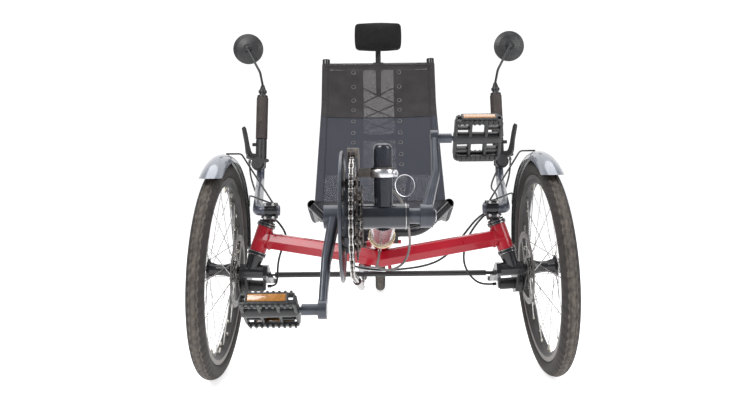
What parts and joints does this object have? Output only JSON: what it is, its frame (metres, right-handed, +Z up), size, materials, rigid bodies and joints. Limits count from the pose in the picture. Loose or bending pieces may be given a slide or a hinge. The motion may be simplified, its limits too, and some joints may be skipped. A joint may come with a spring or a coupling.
{
  "type": "adult tricycle",
  "caption": "Low recumbent tricycle with two steered front wheels, one rear wheel, a mesh sling seat, side handlebars and pedals on a forward boom.",
  "frame": {"origin": "on the ground, under the middle of the trike's overall box", "axes": "+Z up; the trike faces -Y; +X is the rider's left"},
  "size_m": [0.827, 1.9286, 0.9354],
  "materials": {
    "tyre": "matt black rubber, slightly dusty",
    "rim": "black anodised with a machined brake edge",
    "spokes": "bright drawn steel",
    "black_alloy": "gloss black anodised",
    "rotor_steel": "brushed stainless steel",
    "black_steel": "satin black paint on steel",
    "bar_alloy": "silver-grey gloss",
    "grip_rubber": "matt brown-black rubber",
    "black_plastic": "satin black plastic",
    "mirror_shell": "satin black shell; the glass faces the rider",
    "caliper_alloy": "dark brown-black anodised",
    "mudguard_plastic": "silver gloss",
    "tie_rod_steel": "black powder coat, bright rod ends",
    "frame_red": "deep crimson gloss",
    "boom_alloy": "dark blue-grey polished; the telescoping part is bright",
    "crank_alloy": "dark blue-grey gloss",
    "ring_alloy": "dark gloss guard, bright steel rings",
    "pedal_plastic": "black plastic with orange reflectors",
    "chain_steel": "lightly oiled steel",
    "chain_tube_plastic": "brown-black plastic",
    "idler_plastic": "black nylon",
    "cog_steel": "nickel-plated steel",
    "derailleur_alloy": "silver alloy with black plates",
    "lever_alloy": "polished",
    "seat_tube_alloy": "gloss black",
    "seat_mesh": "open coated mesh, brown-grey above a seam and blue-grey below",
    "headrest_foam": "black stretch fabric over foam",
    "cable_housing": "black lined housing"
  },
  "bodies": {
    "frame": {"main_frame": "frame_red", "cross_member": "frame_red", "boom": "boom_alloy", "bottom_bracket": "black_alloy", "headset_cups": "black_alloy", "front_derailleur": "derailleur_alloy", "rear_derailleur": "derailleur_alloy", "chain_tubes": "chain_tube_plastic", "chain": "chain_steel", "seat_frame": "seat_tube_alloy", "seat_fabric": "seat_mesh", "cables": "cable_housing"},
    "headrest": {"headrest_post": "black_steel", "headrest": "headrest_foam"},
    "clamp_lever": {"clamp_lever": "lever_alloy"},
    "idler": {"idler_pulley": "idler_plastic"},
    "crankset": {"crank_right": "crank_alloy", "crank_left": "crank_alloy", "chainrings": "ring_alloy"},
    "pedal_right": {"pedal_right": "pedal_plastic"},
    "pedal_left": {"pedal_left": "pedal_plastic"},
    "cassette": {"cassette": "cog_steel"},
    "rear_wheel": {"rear_tyre": "tyre", "rear_rim": "rim", "rear_spokes": "spokes", "rear_hub": "black_alloy"},
    "tie_rod": {"tie_rod": "tie_rod_steel"},
    "tie_rod_end": {"tie_rod_end": "tie_rod_steel"},
    "steer_left": {"steering_knuckle_left": "black_steel", "stem_left": "black_alloy", "handlebar_left": "bar_alloy", "grip_left": "grip_rubber", "control_pod_left": "black_plastic", "mirror_arm_left": "black_plastic", "brake_caliper_left": "caliper_alloy", "front_mudguard_left": "mudguard_plastic"},
    "wheel_left": {"front_tyre_left": "tyre", "front_rim_left": "rim", "front_spokes_left": "spokes", "front_hub_left": "black_alloy", "brake_rotor_left": "rotor_steel"},
    "brake_lever_left": {"brake_lever_left": "black_alloy"},
    "shift_lever_left": {"shift_lever_left": "black_plastic"},
    "mirror_left": {"mirror_left": "mirror_shell"},
    "steer_right": {"steering_knuckle_right": "black_steel", "stem_right": "black_alloy", "handlebar_right": "bar_alloy", "grip_right": "grip_rubber", "control_pod_right": "black_plastic", "mirror_arm_right": "black_plastic", "brake_caliper_right": "caliper_alloy", "front_mudguard_right": "mudguard_plastic"},
    "wheel_right": {"front_tyre_right": "tyre", "front_rim_right": "rim", "front_spokes_right": "spokes", "front_hub_right": "black_alloy", "brake_rotor_right": "rotor_steel"},
    "brake_lever_right": {"brake_lever_right": "black_alloy"},
    "shift_lever_right": {"shift_lever_right": "black_plastic"},
    "mirror_right": {"mirror_right": "mirror_shell"}
  },
  "joints": [
    {"name": "steer_left", "type": "hinge", "parent": "frame", "child": "steer_left", "pos_m": [0.289, -0.334, 0.237], "axis": [-0.3146, 0.1648, 0.9348], "range_deg": [-20, 20], "deforming": ["cables"]},
    {"name": "steer_right", "type": "hinge", "parent": "frame", "child": "steer_right", "pos_m": [-0.289, -0.334, 0.237], "axis": [0.3146, 0.1648, 0.9348], "range_deg": [-20, 20], "deforming": ["cables"]},
    {"name": "tie_rod_left", "type": "hinge", "parent": "steer_left", "child": "tie_rod", "pos_m": [0.271, -0.234, 0.209], "axis": [-0.2918, 0.0554, 0.9549], "range_deg": [-22, 22]},
    {"name": "tie_rod_right", "type": "hinge", "parent": "steer_right", "child": "tie_rod_end", "pos_m": [-0.271, -0.234, 0.209], "axis": [0.2918, 0.0554, 0.9549], "range_deg": [-22, 22]},
    {"name": "wheel_left_spin", "type": "hinge", "parent": "steer_left", "child": "wheel_left", "pos_m": [0.357, -0.334, 0.2367], "axis": [0.9986, 0, 0.0523], "continuous": true},
    {"name": "wheel_right_spin", "type": "hinge", "parent": "steer_right", "child": "wheel_right", "pos_m": [-0.357, -0.334, 0.2367], "axis": [0.9986, 0, -0.0523], "continuous": true},
    {"name": "rear_wheel_spin", "type": "hinge", "parent": "frame", "child": "rear_wheel", "pos_m": [0, 0.736, 0.237], "axis": [1, 0, 0], "continuous": true},
    {"name": "crank_spin", "type": "hinge", "parent": "frame", "child": "crankset", "pos_m": [0, -0.812, 0.38572], "axis": [1, 0, 0], "continuous": true},
    {"name": "pedal_right_spin", "type": "hinge", "parent": "crankset", "child": "pedal_right", "pos_m": [-0.158, -0.91356, 0.26469], "axis": [1, 0, 0], "continuous": true},
    {"name": "pedal_left_spin", "type": "hinge", "parent": "crankset", "child": "pedal_left", "pos_m": [0.158, -0.71044, 0.50675], "axis": [1, 0, 0], "continuous": true},
    {"name": "cassette_spin", "type": "hinge", "parent": "frame", "child": "cassette", "pos_m": [0, 0.736, 0.237], "axis": [1, 0, 0], "continuous": true},
    {"name": "idler_spin", "type": "hinge", "parent": "frame", "child": "idler", "pos_m": [-0.046, -0.134, 0.268], "axis": [1, 0, 0], "continuous": true},
    {"name": "brake_lever_left", "type": "hinge", "parent": "steer_left", "child": "brake_lever_left", "pos_m": [0.36058, 0.07816, 0.49417], "axis": [-0.7087, -0.6947, 0.1229], "range_deg": [0, 16], "stiffness_Nm_per_rad": 1.2, "springref_deg": -14.32},
    {"name": "shift_lever_left", "type": "hinge", "parent": "steer_left", "child": "shift_lever_left", "pos_m": [0.33942, 0.08648, 0.47095], "axis": [-0.0024, -0.9825, 0.1865], "range_deg": [-25, 25]},
    {"name": "mirror_left", "type": "hinge", "parent": "steer_left", "child": "mirror_left", "pos_m": [0.371, 0.115, 0.799], "axis": [0, 0, 1], "range_deg": [-15, 15]},
    {"name": "brake_lever_right", "type": "hinge", "parent": "steer_right", "child": "brake_lever_right", "pos_m": [-0.36058, 0.07816, 0.49417], "axis": [-0.7087, 0.6947, -0.1229], "range_deg": [0, 16], "stiffness_Nm_per_rad": 1.2, "springref_deg": -14.32},
    {"name": "shift_lever_right", "type": "hinge", "parent": "steer_right", "child": "shift_lever_right", "pos_m": [-0.33942, 0.08648, 0.47095], "axis": [-0.0024, 0.9825, -0.1865], "range_deg": [-25, 25]},
    {"name": "mirror_right", "type": "hinge", "parent": "steer_right", "child": "mirror_right", "pos_m": [-0.371, 0.115, 0.799], "axis": [0, 0, 1], "range_deg": [-15, 15]},
    {"name": "headrest_slide", "type": "slide", "parent": "frame", "child": "headrest", "axis": [0, 0, 1], "range_m": [-0.03, 0.04]},
    {"name": "clamp_lever_turn", "type": "hinge", "parent": "frame", "child": "clamp_lever", "pos_m": [-0.046, -0.2723, 0.229], "axis": [0, 1, 0], "range_deg": [0, 60]}
  ],
  "couplings": [
    {"joint": "steer_right", "follows": "steer_left", "ratio": 1},
    {"joint": "tie_rod_left", "follows": "steer_left", "ratio": -1.0781},
    {"joint": "tie_rod_right", "follows": "steer_left", "ratio": -1.0781},
    {"joint": "cassette_spin", "follows": "crank_spin", "ratio": 2.75},
    {"joint": "idler_spin", "follows": "crank_spin", "ratio": -3.3846}
  ]
}
